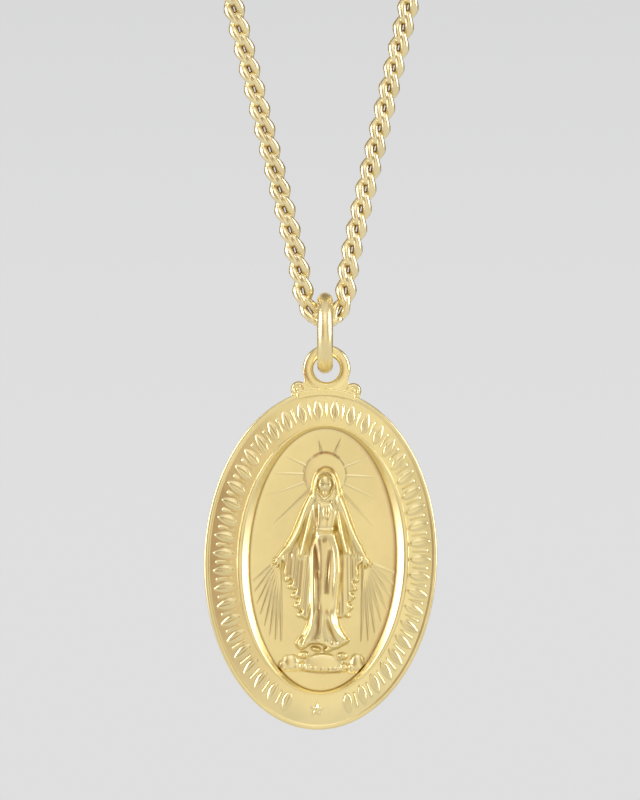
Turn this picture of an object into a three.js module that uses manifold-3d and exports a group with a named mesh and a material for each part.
// Oval religious medal on a jump ring and a curb chain, held up by its loop at the nape.
// Millimetres, +Z up, the medal faces -Y. The origin is the middle of the clasp, where the
// chain lies on the nape of the neck. The field of the medal holds a standing figure in
// relief, and its border a row of upright leaves.

import * as THREE from "three";
import { mergeVertices } from "three/addons/utils/BufferGeometryUtils.js";
import Module from "manifold-3d";

const wasm = await Module();
wasm.setup();

// Medal disc: an oval with a sloping border, a raised frame line and a sunk field
const MEDAL_HALF_WIDTH = 10.0;
const MEDAL_HALF_HEIGHT = 14.6;
const BACK_CHAMFER = 0.25;
const RIM_CHAMFER = 0.2;
const RIM_THICKNESS = 1.3;
const RIM_LIP = 0.35;
const BORDER_RISE = 0.22;
const FRAME_LINE_THICKNESS = 1.78;
const FRAME_LINE_WIDTH = 0.42;
const FRAME_LINE_SLOPE = 0.2;
const FIELD_THICKNESS = 0.95;
const FIELD_HALF_WIDTH = 6.21;
const FIELD_HALF_HEIGHT = 11.0;
const FIELD_BEVEL = 0.45;
const FIELD_SHIFT = 0.35;
const MEDAL_LEAN = THREE.MathUtils.degToRad(1.8);
const OVAL_SIDES = 60;

// Relief on the field
const FIGURE_RELIEF = 0.9;
const HALO_RADIUS = 1.83;
const HALO_RELIEF = 0.1;
const HALO_SIDES = 40;
const RAY_RELIEF = 0.12;
const RAY_WIDTH = 0.24;
const GROUND_RELIEF = 0.3;
const RELIEF_ROOT = 0.1;

// Ornament round the border
const LEAF_COUNT = 44;
const LEAF_HEIGHT = 1.6;
const LEAF_WIDTH = 0.72;
const LEAF_RELIEF = 0.17;
const DART_WIDTH = 0.2;
const DART_HEIGHT = 1.25;
const DART_RELIEF = 0.12;
const STAR_GAP = 5.6;
const STAR_RADIUS = 0.68;
const STAR_WAIST = 0.42;
const STAR_CREST = 0.1;
const STAR_RELIEF = 0.2;
const BAND_SLOPE = 0.12;

// Hanger eye and its shoulder
const EYE_HOLE_PLAY = 0.6;
const EYE_WALL = 0.91;
const EYE_THICKNESS = 1.2;
const EYE_CHAMFER = 0.16;
const EYE_RISE = 1.62;
const SHOULDER_HALF_WIDTH = 2.9;
const SHOULDER_RISE = 0.5;
const SHOULDER_DEPTH = 1.2;
const STEP_WIDTH = 0.4;
const STEP_DROP = 0.2;
const SCROLL_RADIUS = 0.55;
const SCROLL_INSET = 0.44;

// Jump ring
const RING_WIRE = 1.36;
const RING_OUTER = 6.97;
const RING_GAP = 0.18;
const RING_SIDE = -0.146;

// Curb chain
const LINK_PITCH = 1.775;
const LINK_WIRE = 0.62;
const LINK_HALF_WIDTH = 0.47;
const LINK_TWIST = THREE.MathUtils.degToRad(45);
const LINK_BITE = 0.06;
const LINK_SIDES = 10;
const WIRE_SIDES = 5;
const FRONT_LINKS = 12;
const BACK_CHAIN_WIDTH = 1.5;
const BACK_CHAIN_SIDES = 8;
const BACK_CHAIN_STEPS = 38;
const CHAIN_TO_RING = 0.13;

// End rings and clasp
const END_RING_WIRE = 0.6;
const END_RING_PLAY = 0.9;
const CLASP_WIRE = 1.1;
const CLASP_OUTER = 6.0;
const CLASP_GAP = 0.15;
const CLASP_KNOB = 0.55;

// Route of the chain, each half from the middle of the lowest link up to the nape:
// to the side, towards the back and up. The drop and the depth are those of the loop.
const LOOP_DROP = 207;
const LOOP_DEPTH = 102.5;
const ROUTE_RIGHT = [
  [1.72, 0, 1.57],
  [1.86, 0, 3.34],
  [2.12, 0, 5.09],
  [2.5, 0, 6.83],
  [7.87, 0, 30],
  [14.84, 0, 60],
  [23.2, 0.5, 95],
  [31.5, 3, 122],
  [42.5, 13, 156],
  [50, 31, 182],
  [52, 54, 197],
  [45, 79, 204.5],
  [29, 95.2, 206.8],
];
const ROUTE_LEFT = [
  [-1.78, 0, 1.53],
  [-2.0, 0, 3.29],
  [-2.38, 0, 5.03],
  [-2.8, 0, 6.76],
  [-8.65, 0, 30],
  [-16.23, 0, 60],
  [-24.9, 0.5, 95],
  [-33, 3, 122],
  [-43, 13, 156],
  [-50, 31, 182],
  [-52, 54, 197],
  [-45, 79, 204.5],
  [-29, 95.2, 206.8],
];

const GOLD = { color: 0xd9bd72, metalness: 1.0, roughness: 0.3 };
const gold = () => new THREE.MeshStandardMaterial(GOLD);

const solidOf = (geometry) => {
  const bare = geometry.index ? geometry.clone() : geometry;
  bare.deleteAttribute("normal");
  bare.deleteAttribute("uv");
  const merged = mergeVertices(bare, 1e-4);
  const mesh = new wasm.Mesh({
    numProp: 3,
    vertProperties: new Float32Array(merged.attributes.position.array),
    triVerts: new Uint32Array(merged.index.array),
  });
  mesh.merge();
  return new wasm.Manifold(mesh);
};

const geometryOf = (solid) => {
  const mesh = solid.getMesh();
  const geometry = new THREE.BufferGeometry();
  geometry.setAttribute("position", new THREE.BufferAttribute(mesh.vertProperties, 3));
  geometry.setIndex(new THREE.BufferAttribute(mesh.triVerts, 1));
  geometry.computeVertexNormals();
  return geometry;
};

const joined = (geometries) => {
  const solids = geometries.map(solidOf);
  return solids.reduce((sum, next) => sum.add(next));
};

// A closed skin over sections with the same number of points, closed at both ends by fans
const loft = (sections) => {
  const count = sections[0].length;
  const points = sections.flat();
  const triangles = [];
  for (let row = 0; row + 1 < sections.length; row++) {
    for (let i = 0; i < count; i++) {
      const a = row * count + i;
      const b = row * count + ((i + 1) % count);
      triangles.push(a, b, b + count, a, b + count, a + count);
    }
  }
  for (const [row, turned] of [[0, true], [sections.length - 1, false]]) {
    const middle = new THREE.Vector3();
    sections[row].forEach((point) => middle.addScaledVector(point, 1 / count));
    points.push(middle);
    for (let i = 0; i < count; i++) {
      const a = row * count + i;
      const b = row * count + ((i + 1) % count);
      triangles.push(...(turned ? [b, a] : [a, b]), points.length - 1);
    }
  }
  const geometry = new THREE.BufferGeometry().setFromPoints(points);
  geometry.setIndex(triangles);
  return facingOut(geometry);
};

// Turns the triangles over where the skin encloses a negative volume
const facingOut = (geometry) => {
  const at = (i) => new THREE.Vector3().fromBufferAttribute(geometry.attributes.position, i);
  const index = [...geometry.index.array];
  let volume = 0;
  for (let i = 0; i < index.length; i += 3) {
    volume += at(index[i]).dot(at(index[i + 1]).cross(at(index[i + 2])));
  }
  if (volume < 0) index.reverse();
  geometry.setIndex(index);
  return geometry;
};

const oval = (halfWidth, halfHeight, shift, depth) => {
  const points = [];
  for (let i = 0; i < OVAL_SIDES; i++) {
    const angle = (2 * Math.PI * i) / OVAL_SIDES;
    const u = shift + halfWidth * Math.cos(angle);
    points.push(new THREE.Vector3(u, halfHeight * Math.sin(angle), depth));
  }
  return points;
};

// Struck disc: rim, border, frame line and field as one stack of ovals
const disc = () => {
  const outer = (inset, depth) =>
    oval(MEDAL_HALF_WIDTH - inset, MEDAL_HALF_HEIGHT - inset, 0, depth);
  const inner = (outset, depth) =>
    oval(FIELD_HALF_WIDTH + outset, FIELD_HALF_HEIGHT + outset, FIELD_SHIFT, depth);
  const lineInside = FIELD_BEVEL;
  const lineOutside = FIELD_BEVEL + FRAME_LINE_WIDTH;
  return loft([
    outer(BACK_CHAMFER, 0),
    outer(0, BACK_CHAMFER),
    outer(0, RIM_THICKNESS - RIM_CHAMFER),
    outer(RIM_CHAMFER, RIM_THICKNESS),
    outer(RIM_LIP, RIM_THICKNESS),
    inner(lineOutside + FRAME_LINE_SLOPE, RIM_THICKNESS + BORDER_RISE),
    inner(lineOutside, FRAME_LINE_THICKNESS),
    inner(lineInside, FRAME_LINE_THICKNESS),
    inner(0, FIELD_THICKNESS),
  ]);
};

// Places on the field are shares of its half width and half height
const fieldU = (share) => FIELD_SHIFT + share * FIELD_HALF_WIDTH;
const fieldV = (share) => share * FIELD_HALF_HEIGHT;
const fieldPoint = ([u, v]) => new THREE.Vector2(fieldU(u), fieldV(v));

// Body of the figure: height share, left and right edge shares, relief share, pleat depth share
const BODY_ROWS = [
  { v: 0.733, left: -0.09, right: 0.025, relief: 0.3, pleat: 0 },
  { v: 0.7, left: -0.16, right: 0.095, relief: 0.55, pleat: 0 },
  { v: 0.63, left: -0.205, right: 0.14, relief: 0.66, pleat: 0 },
  { v: 0.54, left: -0.22, right: 0.165, relief: 0.66, pleat: 0 },
  { v: 0.47, left: -0.26, right: 0.205, relief: 0.82, pleat: 0 },
  { v: 0.36, left: -0.22, right: 0.19, relief: 0.95, pleat: 0.06 },
  { v: 0.22, left: -0.15, right: 0.14, relief: 0.82, pleat: 0.04 },
  { v: 0.1, left: -0.2, right: 0.2, relief: 0.95, pleat: 0.1 },
  { v: -0.15, left: -0.23, right: 0.24, relief: 1.0, pleat: 0.14 },
  { v: -0.4, left: -0.22, right: 0.23, relief: 0.95, pleat: 0.14 },
  { v: -0.55, left: -0.25, right: 0.27, relief: 0.9, pleat: 0.12 },
  { v: -0.66, left: -0.31, right: 0.36, relief: 0.85, pleat: 0.1 },
  { v: -0.7, left: -0.29, right: 0.32, relief: 0.6, pleat: 0.06 },
];
const BODY_POINTS = 17;
const BODY_PLEATS = 3;

const bodyForm = () => {
  const root = FIELD_THICKNESS - RELIEF_ROOT;
  const section = (row) => {
    const points = [];
    for (let i = 0; i < BODY_POINTS; i++) {
      const share = i / (BODY_POINTS - 1);
      const u = THREE.MathUtils.lerp(fieldU(row.left), fieldU(row.right), share);
      const dome = Math.sqrt(Math.max(0, 1 - (2 * share - 1) ** 4));
      const wave = row.pleat * Math.cos(2 * Math.PI * BODY_PLEATS * share);
      const rise = FIGURE_RELIEF * Math.max(0, (row.relief - Math.abs(row.pleat) + wave) * dome);
      points.push(new THREE.Vector3(u, fieldV(row.v), FIELD_THICKNESS + rise));
    }
    points.push(new THREE.Vector3(fieldU(row.right), fieldV(row.v), root));
    points.push(new THREE.Vector3(fieldU(row.left), fieldV(row.v), root));
    return points;
  };
  return loft(BODY_ROWS.map(section));
};

// Cloak falling from the arms with its stepped hem, as outline shares from the neck round
const CLOAK_RELIEF = 0.4;
const CLOAK_BEVEL = 0.1;
const CLOAK_LEFT = [
  [-0.1, 0.52], [-0.24, 0.49], [-0.33, 0.37], [-0.42, 0.224], [-0.52, 0.091], [-0.6, 0.03],
  [-0.545, -0.02], [-0.56, -0.08], [-0.5, -0.1], [-0.5, -0.16], [-0.44, -0.18], [-0.42, -0.24],
  [-0.385, -0.25], [-0.385, -0.31], [-0.345, -0.32], [-0.345, -0.37], [-0.31, -0.43],
  [-0.2, -0.45], [-0.1, -0.3],
];
const CLOAK_RIGHT = [
  [0.1, 0.5], [0.2, 0.475], [0.29, 0.36], [0.375, 0.238], [0.488, 0.114], [0.57, 0.04],
  [0.47, -0.01], [0.46, -0.08], [0.43, -0.1], [0.445, -0.16], [0.405, -0.18], [0.435, -0.21],
  [0.4, -0.25], [0.41, -0.3], [0.37, -0.32], [0.37, -0.37], [0.32, -0.42],
  [0.22, -0.44], [0.1, -0.3],
];

const plate = (outline, relief, bevel) => {
  const shape = new THREE.Shape(outline);
  const geometry = new THREE.ExtrudeGeometry(shape, {
    depth: RELIEF_ROOT + relief - bevel,
    bevelEnabled: true,
    bevelSegments: 1,
    bevelSize: bevel,
    bevelOffset: -bevel,
    bevelThickness: bevel,
    curveSegments: 12,
  });
  geometry.translate(0, 0, FIELD_THICKNESS - RELIEF_ROOT);
  return geometry;
};

// A tapering ridge between two places: a roof with a triangular section
const ridge = (from, to, fromWidth, toWidth, fromRise, toRise, foot = FIELD_THICKNESS) => {
  const along = new THREE.Vector2().subVectors(to, from).normalize();
  const section = (place, width, rise) => {
    const u = (-along.y * width) / 2;
    const v = (along.x * width) / 2;
    return [
      new THREE.Vector3(place.x - u, place.y - v, foot - RELIEF_ROOT),
      new THREE.Vector3(place.x - u, place.y - v, foot),
      new THREE.Vector3(place.x, place.y, foot + rise),
      new THREE.Vector3(place.x + u, place.y + v, foot),
      new THREE.Vector3(place.x + u, place.y + v, foot - RELIEF_ROOT),
    ];
  };
  return loft([section(from, fromWidth, fromRise), section(to, toWidth, toRise)]);
};

// Folds of the cloak and sleeves: both ends, width and relief, all as shares
const FOLDS = [
  { from: [-0.24, 0.47], to: [-0.58, 0.05], width: 0.1, relief: 0.85 },
  { from: [-0.2, 0.3], to: [-0.33, 0.02], width: 0.081, relief: 0.8 },
  { from: [0.2, 0.45], to: [0.55, 0.06], width: 0.1, relief: 0.85 },
  { from: [0.19, 0.3], to: [0.32, 0.05], width: 0.081, relief: 0.8 },
  { from: [-0.47, 0.06], to: [-0.47, -0.12], width: 0.048, relief: 0.55 },
  { from: [-0.4, 0.1], to: [-0.4, -0.2], width: 0.048, relief: 0.58 },
  { from: [-0.33, 0.02], to: [-0.34, -0.32], width: 0.048, relief: 0.6 },
  { from: [-0.27, 0.05], to: [-0.27, -0.4], width: 0.048, relief: 0.62 },
  { from: [0.4, 0.08], to: [0.41, -0.14], width: 0.048, relief: 0.56 },
  { from: [0.34, 0.04], to: [0.35, -0.28], width: 0.048, relief: 0.6 },
  { from: [0.28, 0.05], to: [0.28, -0.38], width: 0.048, relief: 0.62 },
];
const FOLD_TAPER = 0.7;

const foldRidge = (fold) => {
  const rise = FIGURE_RELIEF * fold.relief;
  const from = fieldPoint(fold.from);
  const to = fieldPoint(fold.to);
  const width = fold.width * FIELD_HALF_WIDTH;
  return ridge(from, to, width, width * FOLD_TAPER, rise, rise * FOLD_TAPER);
};

const ROUND_SIDES = 12;
const SMALL_SIDES = 8;
const SMALL_FORM = 0.05;

// Round masses: head, veil, hands and cloud lumps, as an egg that is sunk in the field
const ROUND_FORMS = [
  { name: "head", at: [-0.035, 0.605], half: [0.112, 0.088], relief: 0.98 },
  { name: "nose", at: [-0.035, 0.6], half: [0.016, 0.022], relief: 1.1 },
  { name: "left eye", at: [-0.073, 0.613], half: [0.022, 0.007], relief: 0.99 },
  { name: "right eye", at: [0.003, 0.613], half: [0.022, 0.007], relief: 0.99 },
  { name: "mouth", at: [-0.035, 0.57], half: [0.026, 0.006], relief: 0.99 },
  { name: "neck", at: [-0.035, 0.52], half: [0.055, 0.041], relief: 0.84 },
  { name: "left hand", at: [-0.62, 0.0], half: [0.068, 0.05], relief: 0.6 },
  { name: "right hand", at: [0.585, 0.02], half: [0.068, 0.045], relief: 0.6 },
  { name: "left foot", at: [-0.05, -0.7], half: [0.068, 0.027], relief: 0.6 },
  { name: "right foot", at: [0.12, -0.7], half: [0.068, 0.027], relief: 0.6 },
  { name: "cloud left", at: [-0.43, -0.8], half: [0.153, 0.073], relief: 0.4 },
  { name: "cloud right", at: [0.5, -0.78], half: [0.113, 0.068], relief: 0.4 },
];

const roundForm = (form) => {
  const sides = form.half[0] > SMALL_FORM ? ROUND_SIDES : SMALL_SIDES;
  const geometry = new THREE.SphereGeometry(1, sides, sides / 2);
  const rise = FIGURE_RELIEF * form.relief + RELIEF_ROOT;
  geometry.rotateX(Math.PI / 2);
  geometry.scale(form.half[0] * FIELD_HALF_WIDTH, form.half[1] * FIELD_HALF_HEIGHT, rise);
  const place = fieldPoint(form.at);
  geometry.translate(place.x, place.y, FIELD_THICKNESS - RELIEF_ROOT);
  return geometry;
};

// Fingers: a fan of small ridges from each hand, pointing down and out
const FINGERS = 4;
const FINGER_LENGTH = 0.75;
const FINGER_WIDTH = 0.2;
const FINGER_RELIEF = 0.5;
const HANDS = [
  { at: [-0.63, -0.02], first: 215, last: 285 },
  { at: [0.595, 0.0], first: 325, last: 265 },
];

const fingerRidges = (hand) => {
  const ridges = [];
  const root = fieldPoint(hand.at);
  for (let i = 0; i < FINGERS; i++) {
    const degrees = THREE.MathUtils.lerp(hand.first, hand.last, i / (FINGERS - 1));
    const angle = THREE.MathUtils.degToRad(degrees);
    const tip = new THREE.Vector2(Math.cos(angle), Math.sin(angle));
    tip.multiplyScalar(FINGER_LENGTH).add(root);
    const rise = FIGURE_RELIEF * FINGER_RELIEF;
    ridges.push(ridge(root, tip, FINGER_WIDTH, FINGER_WIDTH * FOLD_TAPER, rise, rise * FOLD_TAPER));
  }
  return ridges;
};

// Rays: tips as shares of the field; those of the halo start at its edge
const HALO_AT = [-0.033, 0.665];
const HALO_RAY_TIPS = [
  [-0.704, 0.272], [-0.832, 0.487], [-0.759, 0.666], [-0.573, 0.799], [-0.121, 0.93],
  [0.179, 0.954], [0.548, 0.805], [0.69, 0.66], [0.64, 0.499], [0.66, 0.287],
];
const LEFT_RAY_TIPS = [
  [-0.94, -0.18], [-0.93, -0.27], [-0.89, -0.37], [-0.8, -0.5], [-0.7, -0.62], [-0.57, -0.7],
];
const RIGHT_RAY_TIPS = [
  [0.95, -0.08], [0.94, -0.18], [0.9, -0.3], [0.84, -0.42], [0.77, -0.54], [0.67, -0.65],
];

const rayFan = (centre, start, tips) =>
  tips.map((tip) => {
    const to = fieldPoint(tip);
    const from = new THREE.Vector2().subVectors(to, centre).setLength(start).add(centre);
    return ridge(from, to, RAY_WIDTH, RAY_WIDTH / 2, RAY_RELIEF, RAY_RELIEF / 2);
  });

const halo = () => {
  const depth = HALO_RELIEF + RELIEF_ROOT;
  const geometry = new THREE.CylinderGeometry(HALO_RADIUS, HALO_RADIUS, depth, HALO_SIDES);
  geometry.rotateX(Math.PI / 2);
  const place = fieldPoint(HALO_AT);
  geometry.translate(place.x, place.y, FIELD_THICKNESS + (HALO_RELIEF - RELIEF_ROOT) / 2);
  return geometry;
};

// Ground under the feet: a low globe cap over a scalloped cloud, on a smooth exergue
const GLOBE_OUTLINE = [
  [-0.31, -0.87], [-0.3, -0.8], [-0.24, -0.755], [-0.1, -0.735], [0.06, -0.73], [0.22, -0.74],
  [0.35, -0.77], [0.4, -0.82], [0.41, -0.87],
];
const SCALLOPS = 5;
const SCALLOP_HALF = [0.068, 0.038];
const SCALLOP_RELIEF = 0.5;
const SCALLOP_ROW = { from: [-0.2, -0.85], to: [0.31, -0.85] };
const EXERGUE_TOP = -0.87;
const EXERGUE_RELIEF = 0.1;

const scallops = () => {
  const forms = [];
  for (let i = 0; i < SCALLOPS; i++) {
    const share = i / (SCALLOPS - 1);
    const at = [0, 1].map((k) => THREE.MathUtils.lerp(SCALLOP_ROW.from[k], SCALLOP_ROW.to[k], share));
    forms.push(roundForm({ at, half: SCALLOP_HALF, relief: SCALLOP_RELIEF }));
  }
  return forms;
};

const exergue = () => {
  const outline = [];
  const start = Math.PI + Math.asin(-EXERGUE_TOP);
  const end = 2 * Math.PI - Math.asin(-EXERGUE_TOP);
  const steps = 12;
  for (let i = 0; i <= steps; i++) {
    const angle = THREE.MathUtils.lerp(start, end, i / steps);
    outline.push(fieldPoint([Math.cos(angle), Math.sin(angle)]));
  }
  return plate(outline, EXERGUE_RELIEF, 0);
};

// Border ornament: upright leaves with a dart between each two, and a star in the gap below
const bandHalfWidth = (MEDAL_HALF_WIDTH + FIELD_HALF_WIDTH + FIELD_BEVEL + FRAME_LINE_WIDTH) / 2;
const bandHalfHeight = (MEDAL_HALF_HEIGHT + FIELD_HALF_HEIGHT + FIELD_BEVEL + FRAME_LINE_WIDTH) / 2;
const bandShift = FIELD_SHIFT / 2;
const bandDepth = RIM_THICKNESS + BORDER_RISE / 2;

// Places with an equal spacing along the middle of the border, from one side of the gap round
const bandPlaces = (count) => {
  const curve = new THREE.EllipseCurve(
    bandShift, 0, bandHalfWidth, bandHalfHeight, -Math.PI / 2, 1.5 * Math.PI);
  const length = curve.getLength();
  const from = STAR_GAP / 2 / length;
  const places = [];
  for (let i = 0; i < count; i++) {
    const share = THREE.MathUtils.lerp(from, 1 - from, i / (count - 1));
    const place = curve.getPointAt(share);
    const tangent = curve.getTangentAt(share);
    places.push({ place, turn: Math.atan2(-tangent.x, tangent.y) });
  }
  return places;
};

const LEAF_OUTLINE = [
  [-0.5, 0], [-0.2, 0.46], [0.18, 0.42], [0.5, 0], [0.18, -0.42], [-0.2, -0.46],
];
const LEAF_FOOT = 1.3;
const LEAF_CREST = 0.35;
const leaf = () => {
  const base = LEAF_OUTLINE.map(([out, side]) => [out * LEAF_HEIGHT, side * LEAF_WIDTH]);
  const ring = (scale, depth, lean) =>
    base.map(([out, side]) => new THREE.Vector3(out * scale, side * scale, depth - lean * out * scale));
  const low = bandDepth - RELIEF_ROOT;
  return loft([
    ring(LEAF_FOOT, low, BAND_SLOPE),
    ring(LEAF_CREST, bandDepth + LEAF_RELIEF, BAND_SLOPE),
  ]);
};

const dart = () => {
  const geometry = new THREE.BoxGeometry(DART_HEIGHT, DART_WIDTH, RELIEF_ROOT + DART_RELIEF);
  geometry.rotateY(Math.atan(BAND_SLOPE));
  geometry.translate(0, 0, bandDepth + (DART_RELIEF - RELIEF_ROOT) / 2);
  return geometry;
};

const turned = (geometry, { place, turn }) => {
  const copy = geometry.clone();
  copy.rotateZ(turn);
  copy.translate(place.x, place.y, 0);
  return copy;
};

const border = () => {
  const places = bandPlaces(2 * LEAF_COUNT - 1);
  return places.map((place, i) => turned(i % 2 ? dart() : leaf(), place));
};

const star = () => {
  const points = [];
  for (let i = 0; i < 10; i++) {
    const radius = STAR_RADIUS * (i % 2 ? STAR_WAIST : 1);
    const angle = Math.PI / 2 + (Math.PI * i) / 5;
    points.push(new THREE.Vector3(radius * Math.cos(angle), radius * Math.sin(angle), 0));
  }
  const level = (scale, depth) =>
    points.map((point) => new THREE.Vector3(point.x * scale, point.y * scale, depth));
  const geometry = loft([
    level(1, -RELIEF_ROOT),
    level(1, STAR_RELIEF / 3),
    level(STAR_CREST, STAR_RELIEF),
  ]);
  geometry.translate(0, -bandHalfHeight, bandDepth);
  return geometry;
};

// Hanger: eye, stepped shoulder that follows the oval, and a scroll bead on each side
const eyeHoleRadius = RING_WIRE / 2 + EYE_HOLE_PLAY;
const eyeRadius = eyeHoleRadius + EYE_WALL;
const eyeHeight = MEDAL_HALF_HEIGHT + EYE_RISE;
const hangerMiddle = EYE_THICKNESS / 2 + STEP_DROP / 2;

const eye = () => {
  const half = EYE_THICKNESS / 2;
  const cut = EYE_CHAMFER;
  const profile = [
    [eyeHoleRadius, -half + cut], [eyeHoleRadius + cut, -half], [eyeRadius - cut, -half],
    [eyeRadius, -half + cut], [eyeRadius, half - cut], [eyeRadius - cut, half],
    [eyeHoleRadius + cut, half], [eyeHoleRadius, half - cut], [eyeHoleRadius, -half + cut],
  ].map(([r, y]) => new THREE.Vector2(r, y));
  const geometry = new THREE.LatheGeometry(profile, 28);
  geometry.rotateX(Math.PI / 2);
  geometry.translate(0, eyeHeight, hangerMiddle);
  return geometry;
};

const shoulder = (halfWidth, rise, thickness) => {
  const ovalTop = (u) => MEDAL_HALF_HEIGHT * Math.sqrt(1 - (u / MEDAL_HALF_WIDTH) ** 2);
  const steps = 8;
  const outline = [];
  for (let i = 0; i <= steps; i++) {
    const u = THREE.MathUtils.lerp(halfWidth, -halfWidth, i / steps);
    outline.push(new THREE.Vector2(u, ovalTop(u) + rise));
  }
  for (let i = 0; i <= steps; i++) {
    const u = THREE.MathUtils.lerp(-halfWidth, halfWidth, i / steps);
    outline.push(new THREE.Vector2(u, ovalTop(u) - SHOULDER_DEPTH));
  }
  const geometry = new THREE.ExtrudeGeometry(new THREE.Shape(outline), {
    depth: thickness,
    bevelEnabled: false,
  });
  geometry.translate(0, 0, hangerMiddle - EYE_THICKNESS / 2 + (EYE_THICKNESS - thickness) / 2);
  return geometry;
};

// Foot of the eye: leaves its round side at an angle and spreads onto the shoulder
const FOOT_ANGLE = THREE.MathUtils.degToRad(37);
const FOOT_SPREAD = 0.55;
const eyeFoot = () => {
  const half = eyeRadius * Math.cos(FOOT_ANGLE);
  const top = eyeHeight - eyeRadius * Math.sin(FOOT_ANGLE);
  const bottom = MEDAL_HALF_HEIGHT - SHOULDER_DEPTH / 2;
  const shape = new THREE.Shape([
    new THREE.Vector2(-half, top),
    new THREE.Vector2(-half - FOOT_SPREAD, bottom),
    new THREE.Vector2(half + FOOT_SPREAD, bottom),
    new THREE.Vector2(half, top),
    new THREE.Vector2(eyeHoleRadius, eyeHeight - eyeHoleRadius - EYE_CHAMFER),
    new THREE.Vector2(-eyeHoleRadius, eyeHeight - eyeHoleRadius - EYE_CHAMFER),
  ]);
  const depth = EYE_THICKNESS - 2 * EYE_CHAMFER;
  const geometry = new THREE.ExtrudeGeometry(shape, { depth, bevelEnabled: false });
  geometry.translate(0, 0, hangerMiddle - depth / 2);
  return geometry;
};

const scrollBead = (side) => {
  const geometry = new THREE.SphereGeometry(SCROLL_RADIUS, 12, 8);
  const along = SHOULDER_HALF_WIDTH - SCROLL_INSET;
  const top = MEDAL_HALF_HEIGHT * Math.sqrt(1 - (along / MEDAL_HALF_WIDTH) ** 2);
  geometry.translate(side * along, top + SHOULDER_RISE, hangerMiddle);
  return geometry;
};

const hangerForms = () => [
  eyeFoot(),
  shoulder(SHOULDER_HALF_WIDTH, SHOULDER_RISE, EYE_THICKNESS - STEP_DROP),
  shoulder(SHOULDER_HALF_WIDTH - STEP_WIDTH, SHOULDER_RISE + STEP_WIDTH, EYE_THICKNESS - 2 * STEP_DROP),
  scrollBead(-1),
  scrollBead(1),
];

const reliefForms = () => [
  halo(),
  ...rayFan(fieldPoint(HALO_AT), HALO_RADIUS - RELIEF_ROOT, HALO_RAY_TIPS),
  ...rayFan(fieldPoint(HANDS[0].at), FINGER_LENGTH - RELIEF_ROOT, LEFT_RAY_TIPS),
  ...rayFan(fieldPoint(HANDS[1].at), FINGER_LENGTH - RELIEF_ROOT, RIGHT_RAY_TIPS),
  plate(CLOAK_LEFT.map(fieldPoint), CLOAK_RELIEF, CLOAK_BEVEL),
  plate(CLOAK_RIGHT.map(fieldPoint), CLOAK_RELIEF, CLOAK_BEVEL),
  ...FOLDS.map(foldRidge),
  bodyForm(),
  ...ROUND_FORMS.map(roundForm),
  ...HANDS.flatMap(fingerRidges),
  plate(GLOBE_OUTLINE.map(fieldPoint), GROUND_RELIEF, CLOAK_BEVEL),
  ...scallops(),
  exergue(),
];

const medalGeometry = () => {
  const hole = new THREE.CylinderGeometry(eyeHoleRadius, eyeHoleRadius, 2 * EYE_THICKNESS, 28);
  hole.rotateX(Math.PI / 2);
  hole.translate(0, eyeHeight, hangerMiddle);
  const hanger = joined(hangerForms()).subtract(solidOf(hole)).add(solidOf(eye()));
  const front = joined([disc(), ...reliefForms(), ...border(), star()]);
  return geometryOf(front.add(hanger));
};

// Chain: twisted links where it is seen, a plain round cord beyond, an end ring at each end
const linkEnd = (LINK_PITCH + LINK_WIRE - LINK_BITE) / 2;

class LinkCurve extends THREE.Curve {
  getPoint(share, target = new THREE.Vector3()) {
    const angle = 2 * Math.PI * share;
    const twist = LINK_TWIST * Math.cos(angle);
    const side = LINK_HALF_WIDTH * Math.sin(angle);
    return target.set(side * Math.cos(twist), linkEnd * Math.cos(angle), side * Math.sin(twist));
  }
}

const FACING = new THREE.Vector3(0, -1, 0);

// A link between two joints of the chain, with its flat side towards the front
const linkBetween = (from, to) => {
  const along = new THREE.Vector3().subVectors(to, from).normalize();
  const across = new THREE.Vector3().crossVectors(along, FACING).normalize();
  const facing = new THREE.Vector3().crossVectors(across, along);
  const geometry = new THREE.TubeGeometry(
    new LinkCurve(), LINK_SIDES, LINK_WIRE / 2, WIRE_SIDES, true);
  const middle = new THREE.Vector3().addVectors(from, to).multiplyScalar(0.5);
  geometry.applyMatrix4(new THREE.Matrix4().makeBasis(across, along, facing).setPosition(middle));
  return geometry;
};

const apex = new THREE.Vector3(0, -LOOP_DEPTH, -LOOP_DROP);
const routePoint = ([side, back, up]) => new THREE.Vector3(side, back, up).add(apex);
const firstJoint = (side) => routePoint([(side * LINK_PITCH) / 2, 0, 0]);
const endRingRadius = (CLASP_WIRE + END_RING_PLAY + END_RING_WIRE) / 2;
const claspRadius = (CLASP_OUTER - CLASP_WIRE) / 2;
const endRingAt = claspRadius - CLASP_WIRE / 2 - CLASP_GAP + endRingRadius - END_RING_WIRE / 2;

// Half of the chain's line, from the first joint beside the lowest link to its end ring
const halfRoute = (side, points) => {
  const end = new THREE.Vector3(side * (endRingAt + endRingRadius), 0, 0);
  return new THREE.CatmullRomCurve3(
    [firstJoint(side), ...points.map(routePoint), end], false, "centripetal");
};

// Joints one link apart, walked along the line with straight steps of one pitch
const jointsOn = (curve, count) => {
  const fine = curve.getSpacedPoints(6000);
  const joints = [fine[0]];
  for (const point of fine) {
    if (joints.length > count) break;
    if (point.distanceTo(joints[joints.length - 1]) >= LINK_PITCH) joints.push(point);
  }
  return joints;
};

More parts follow.
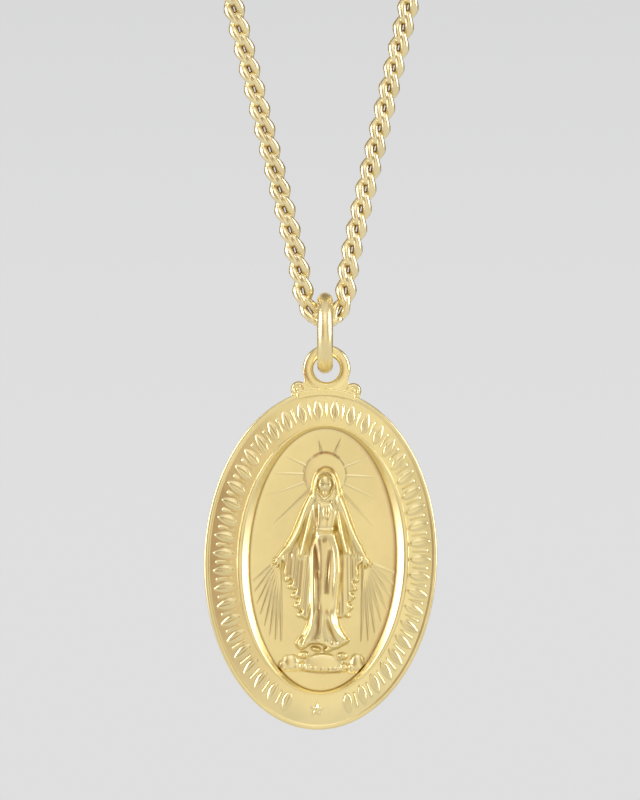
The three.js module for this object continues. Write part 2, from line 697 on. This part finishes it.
const backCord = (curve, from) => {
  const fine = curve.getSpacedPoints(1200);
  const first = fine.findIndex((point) => point.distanceTo(from) < LINK_PITCH / 2);
  const path = new THREE.CatmullRomCurve3(fine.slice(first).filter((_, i, all) =>
    i % 12 === 0 || i === all.length - 1));
  const shape = new THREE.Shape();
  for (let i = 0; i < BACK_CHAIN_SIDES; i++) {
    const angle = (2 * Math.PI * (i + 0.5)) / BACK_CHAIN_SIDES;
    const point = [Math.cos(angle), Math.sin(angle)].map((c) => (c * BACK_CHAIN_WIDTH) / 2);
    if (i === 0) shape.moveTo(...point);
    else shape.lineTo(...point);
  }
  return new THREE.ExtrudeGeometry(shape, {
    steps: BACK_CHAIN_STEPS,
    extrudePath: path,
    bevelEnabled: false,
  });
};

const endRing = (side) => {
  const geometry = new THREE.TorusGeometry(endRingRadius, END_RING_WIRE / 2, 6, 16);
  geometry.translate(side * endRingAt, 0, 0);
  return geometry;
};

const chainHalf = (side, points) => {
  const curve = halfRoute(side, points);
  const joints = jointsOn(curve, FRONT_LINKS);
  const forms = [endRing(side), backCord(curve, joints[joints.length - 1])];
  for (let i = 0; i + 1 < joints.length; i++) forms.push(linkBetween(joints[i], joints[i + 1]));
  return forms;
};

// The pinholes that stay where two round wires meet are dropped: only the outer skin is kept
const chainGeometry = () => {
  const skins = joined([
    linkBetween(firstJoint(-1), firstJoint(1)),
    ...chainHalf(-1, ROUTE_LEFT),
    ...chainHalf(1, ROUTE_RIGHT),
  ]).decompose();
  return geometryOf(skins.reduce((most, skin) => (skin.volume() > most.volume() ? skin : most)));
};

const claspGeometry = () => {
  const ring = new THREE.TorusGeometry(claspRadius, CLASP_WIRE / 2, 8, 24);
  ring.rotateX(Math.PI / 2);
  const knob = new THREE.SphereGeometry(CLASP_KNOB, 10, 8);
  knob.translate(0, 0, claspRadius + CLASP_WIRE / 2 + CLASP_KNOB / 2);
  return geometryOf(joined([ring, knob]));
};

const mesh = (name, geometry) => {
  const made = new THREE.Mesh(geometry, gold());
  made.name = name;
  return made;
};

const ringRadius = (RING_OUTER - RING_WIRE) / 2;
const ringTopRise = LINK_HALF_WIDTH + LINK_WIRE / 2 + CHAIN_TO_RING + RING_WIRE / 2;
const ringMiddle = apex.clone().add(new THREE.Vector3(0, 0, ringTopRise - ringRadius));
const ringBottom = ringMiddle.clone().add(new THREE.Vector3(0, 0, -ringRadius));

const pendant = new THREE.Group();
pendant.add(mesh("chain", chainGeometry()));
pendant.add(mesh("clasp", claspGeometry()));

const jumpRing = mesh("jump_ring", new THREE.TorusGeometry(ringRadius, RING_WIRE / 2, 10, 36));
jumpRing.position.copy(ringMiddle);
jumpRing.rotation.y = Math.PI / 2;
pendant.add(jumpRing);

// The medal hangs from the bottom of the ring and leans about it
const hanging = new THREE.Group();
hanging.position.copy(ringBottom);
hanging.rotation.y = MEDAL_LEAN;
const medal = mesh("medal", medalGeometry());
medal.rotation.x = Math.PI / 2;
const ringPlay = eyeHoleRadius - RING_WIRE / 2 - RING_GAP;
medal.position.set(-RING_SIDE, hangerMiddle, -(eyeHeight + ringPlay));
hanging.add(medal);
pendant.add(hanging);

export default pendant;
